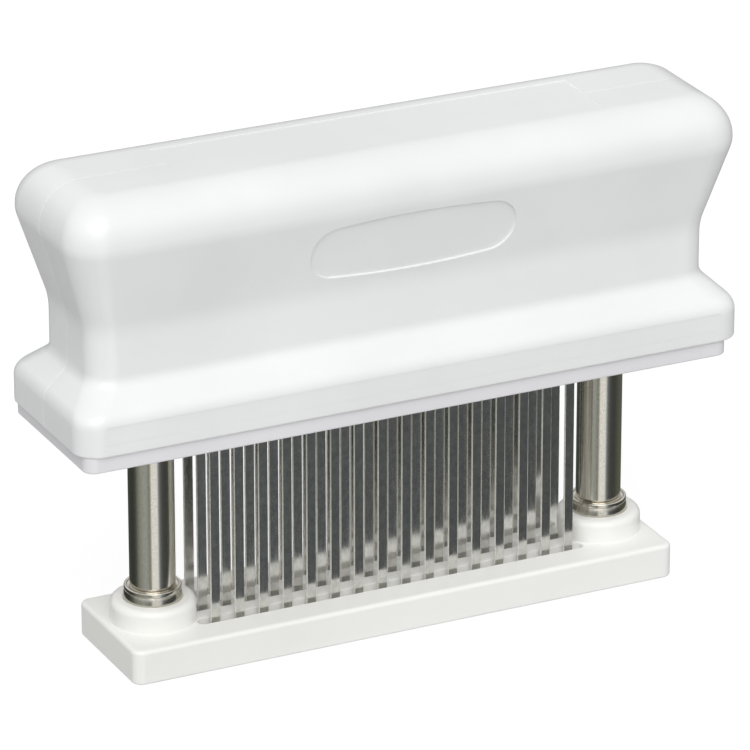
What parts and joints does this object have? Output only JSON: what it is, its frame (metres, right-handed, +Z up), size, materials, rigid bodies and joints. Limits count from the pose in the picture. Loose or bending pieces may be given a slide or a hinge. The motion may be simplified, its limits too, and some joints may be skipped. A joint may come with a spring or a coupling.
{
  "type": "blade meat tenderizer",
  "caption": "Hand-pressed meat tenderizer: a moulded handle full of flat blades slides down two sprung steel columns, so that the blades pass through a slotted base plate.",
  "frame": {"origin": "middle of the base plate's underside, on the surface the tool stands on", "axes": "+X along the handle, +Y from the front with the oval recess to the back, +Z up"},
  "size_m": [0.146, 0.038, 0.1035],
  "materials": {
    "white_plastic": "white moulded ABS, satin gloss",
    "inner_plastic": "moulded acetal, matte",
    "column_steel": "stainless tube, brushed round",
    "ferrule_steel": "turned stainless steel",
    "blade_steel": "rolled stainless strip, polished faces",
    "screw_steel": "stainless screws",
    "spring_steel": "drawn spring wire"
  },
  "bodies": {
    "base": {"base_plate": "white_plastic", "foot_screws": "screw_steel", "left_column": "column_steel", "left_ferrule": "ferrule_steel", "left_foot_plug": "screw_steel", "left_retaining_ring": "spring_steel", "left_return_spring": "spring_steel", "right_column": "column_steel", "right_ferrule": "ferrule_steel", "right_foot_plug": "screw_steel", "right_retaining_ring": "spring_steel", "right_return_spring": "spring_steel"},
    "handle": {"left_guide_bush": "inner_plastic", "left_spring_post": "inner_plastic", "right_guide_bush": "inner_plastic", "right_spring_post": "inner_plastic", "handle_front_shell": "white_plastic", "handle_rear_shell": "white_plastic", "bottom_plate": "white_plastic", "plate_screws": "screw_steel", "blade_holder": "inner_plastic", "blade_clamp": "inner_plastic", "clamp_screws": "screw_steel", "front_blade_row": "blade_steel", "middle_blade_row": "blade_steel", "rear_blade_row": "blade_steel"}
  },
  "joints": [
    {"name": "handle_press", "type": "slide", "parent": "base", "child": "handle", "axis": [0, 0, 1], "range_m": [-0.034, 0], "stiffness_N_per_m": 450, "springref_m": 0.02, "deforming": ["left_return_spring", "right_return_spring"]}
  ]
}
